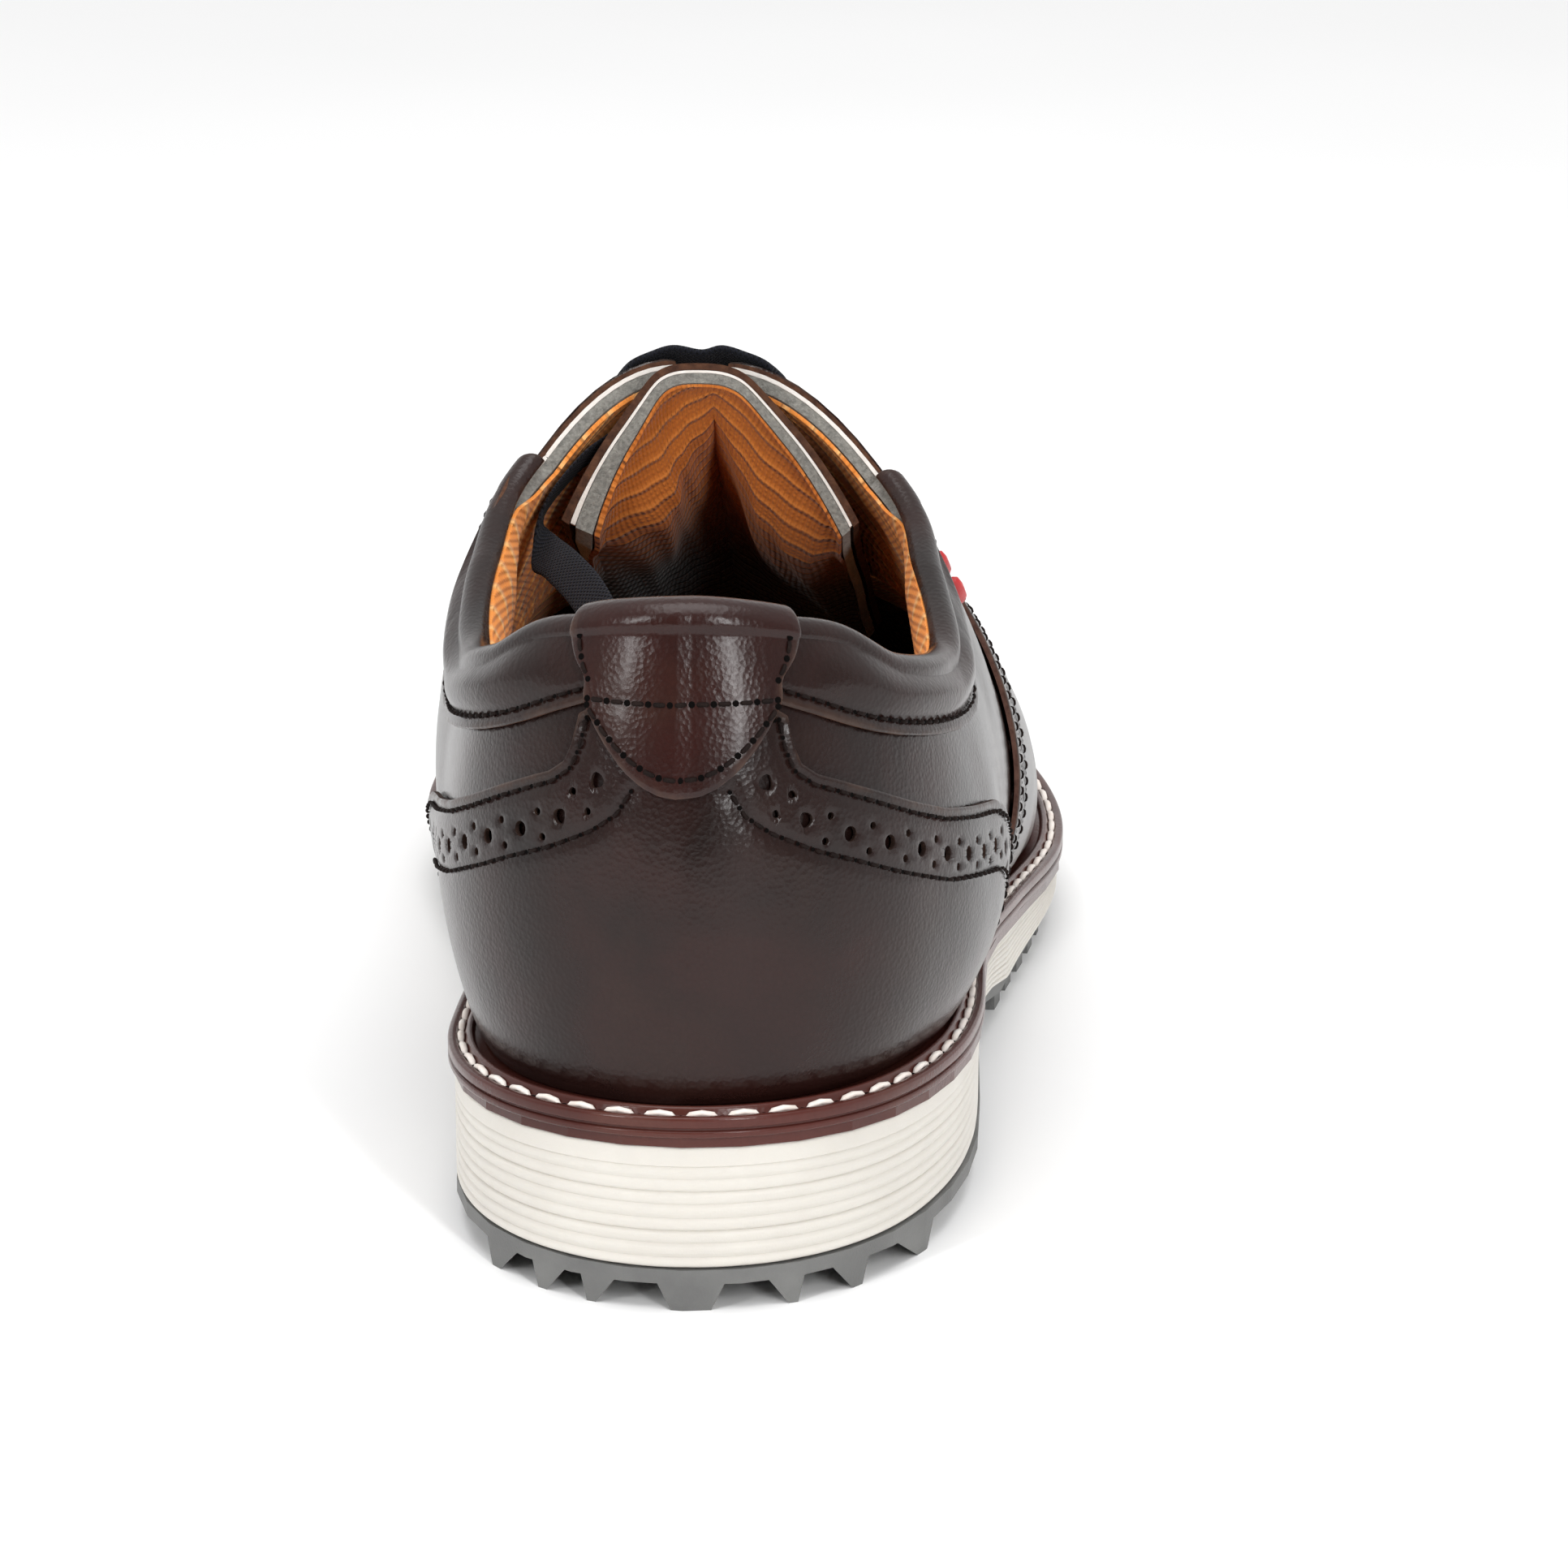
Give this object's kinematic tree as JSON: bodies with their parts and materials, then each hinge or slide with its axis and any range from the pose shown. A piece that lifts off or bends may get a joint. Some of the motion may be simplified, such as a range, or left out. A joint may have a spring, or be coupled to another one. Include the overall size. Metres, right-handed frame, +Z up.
{
  "type": "golf shoe",
  "caption": "Right-foot leather golf shoe with a brogued heel, stitched welt, cushioned midsole and toothed spikeless outsole.",
  "frame": {"origin": "centre of the shoe's bounding box in plan, on the ground plane under the outsole lugs", "axes": "+X to the lateral (right) side, +Y toward the toe, +Z up"},
  "size_m": [0.112, 0.302, 0.1173],
  "materials": {
    "outsole_rubber": "matte",
    "midsole_foam": "matte",
    "welt_leather": "satin",
    "welt_thread": "matte",
    "board": "matte",
    "shank_steel": "satin",
    "cork": "matte",
    "footbed_foam": "matte",
    "footbed_cover": "matte",
    "stiffener": "matte",
    "upper_leather": "satin",
    "lining_textile": "matte",
    "padding": "matte",
    "tongue_leather": "satin",
    "eyelet_metal": "satin",
    "lace_cord": "matte",
    "aglet_plastic": "gloss",
    "accent_red": "matte"
  },
  "bodies": {
    "shoe": {"outsole": "outsole_rubber", "midsole": "midsole_foam", "slip_sole": "welt_leather", "welt": "welt_leather", "welt_thread": "welt_thread", "insole_board": "board", "shank": "shank_steel", "bottom_filler": "cork", "heel_counter": "stiffener", "toe_puff": "stiffener", "vamp": "upper_leather", "vamp_lining": "lining_textile", "quarter_lateral": "upper_leather", "quarter_medial": "upper_leather", "collar_lateral": "upper_leather", "collar_medial": "upper_leather", "padding_lateral": "padding", "padding_medial": "padding", "lining_lateral": "lining_textile", "lining_medial": "lining_textile", "heel_foxing": "upper_leather", "heel_tab": "upper_leather", "eyelets": "eyelet_metal", "lace": "lace_cord", "aglets": "aglet_plastic", "accent_bars": "accent_red"},
    "tongue": {"tongue_leather": "tongue_leather", "tongue_foam": "padding", "tongue_lining": "lining_textile"},
    "footbed": {"footbed_foam": "footbed_foam", "footbed_cover": "footbed_cover"}
  },
  "joints": [
    {"name": "tongue_fold", "type": "hinge", "parent": "shoe", "child": "tongue", "pos_m": [-0.002, 0.0329, 0.0545], "axis": [1, 0, 0], "range_deg": [0, 10]},
    {"name": "footbed_lift", "type": "hinge", "parent": "shoe", "child": "footbed", "pos_m": [-0.0075, 0.1395, 0.0229], "axis": [-1, 0, 0], "range_deg": [0, 4.5]}
  ]
}
